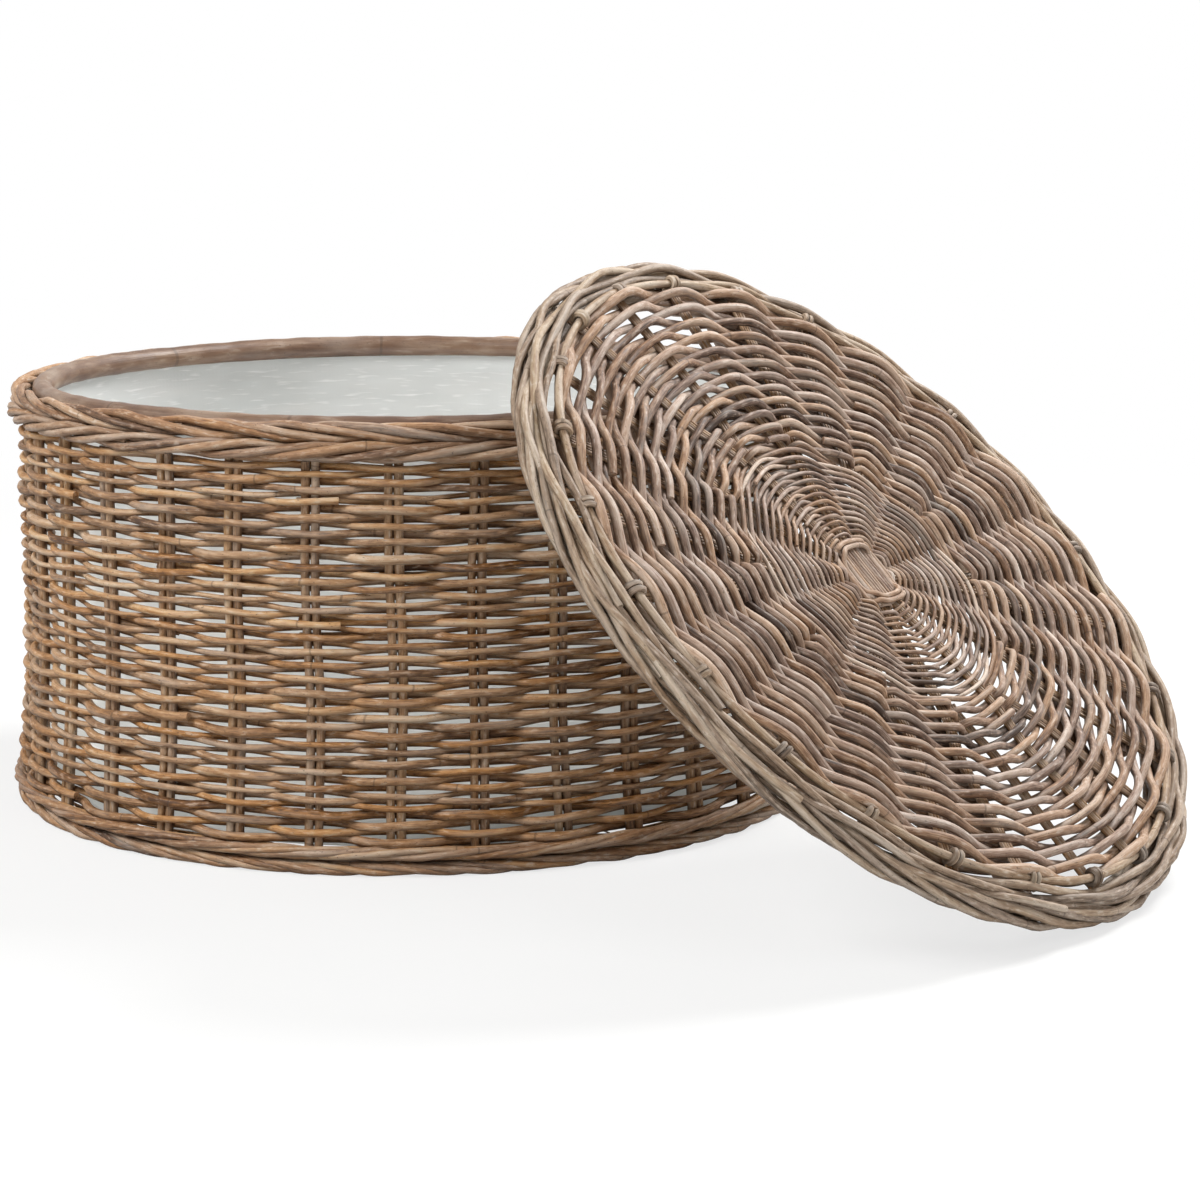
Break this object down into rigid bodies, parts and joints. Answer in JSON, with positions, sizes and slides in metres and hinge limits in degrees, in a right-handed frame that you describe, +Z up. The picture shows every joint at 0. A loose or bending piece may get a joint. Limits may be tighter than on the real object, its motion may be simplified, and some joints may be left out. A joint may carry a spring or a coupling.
{
  "type": "wicker storage coffee table",
  "caption": "Round drum-shaped wicker storage coffee table with a cloth liner and a loose round woven lid that leans against its rim and lifts away.",
  "frame": {"origin": "on the drum's axis, on the floor that the foot roll stands on", "axes": "+Z up the drum's axis, +X from the drum's axis towards the side where the lid leans"},
  "size_m": [1.1433, 0.7899, 0.4976],
  "materials": {
    "rattan_pole": "smooth skinned rattan pole, grey-brown wash",
    "rattan_stake": "rattan rod, grey-brown wash",
    "rattan_plait": "plaited rattan, grey-beige wash",
    "rattan_weaver": "woven rattan, grey-beige wash",
    "lining_cloth": "pale plain lining cloth"
  },
  "bodies": {
    "drum": {"rim_pole": "rattan_pole", "top_border_upper": "rattan_plait", "top_border_lower": "rattan_plait", "foot_border": "rattan_plait", "foot_roll": "rattan_plait", "base_hoop": "rattan_pole", "base_pole_1": "rattan_pole", "base_pole_2": "rattan_pole", "base_pole_3": "rattan_pole", "floor_panel": "rattan_weaver", "liner_wall": "lining_cloth", "liner_floor": "lining_cloth", "wall_stakes": "rattan_stake", "wall_course_01": "rattan_weaver", "wall_course_02": "rattan_weaver", "wall_course_03": "rattan_weaver", "wall_course_04": "rattan_weaver", "wall_course_05": "rattan_weaver", "wall_course_06": "rattan_weaver", "wall_course_07": "rattan_weaver", "wall_course_08": "rattan_weaver", "wall_course_09": "rattan_weaver", "wall_course_10": "rattan_weaver", "wall_course_11": "rattan_weaver", "wall_course_12": "rattan_weaver", "wall_course_13": "rattan_weaver", "wall_course_14": "rattan_weaver", "wall_course_15": "rattan_weaver", "wall_course_16": "rattan_weaver", "wall_course_17": "rattan_weaver"},
    "lid": {"lid_rim_roll": "rattan_plait", "lid_hoop": "rattan_pole", "lid_ring_rod": "rattan_weaver", "lid_bindings": "rattan_weaver", "lid_pole_1": "rattan_pole", "lid_pole_2": "rattan_pole", "lid_pole_3": "rattan_pole", "lid_slath_upper": "rattan_stake", "lid_slath_lower": "rattan_stake", "lid_long_spokes": "rattan_stake", "lid_short_spokes": "rattan_stake", "lid_course_01": "rattan_weaver", "lid_course_02": "rattan_weaver", "lid_course_03": "rattan_weaver", "lid_course_04": "rattan_weaver", "lid_course_05": "rattan_weaver", "lid_course_06": "rattan_weaver", "lid_course_07": "rattan_weaver", "lid_course_08": "rattan_weaver", "lid_course_09": "rattan_weaver", "lid_course_10": "rattan_weaver", "lid_course_11": "rattan_weaver", "lid_course_12": "rattan_weaver", "lid_course_13": "rattan_weaver", "lid_course_14": "rattan_weaver", "lid_course_15": "rattan_weaver"}
  },
  "joints": [
    {"name": "lid_lift", "type": "slide", "parent": "drum", "child": "lid", "axis": [0, 0, 1], "range_m": [0, 0.45]}
  ]
}
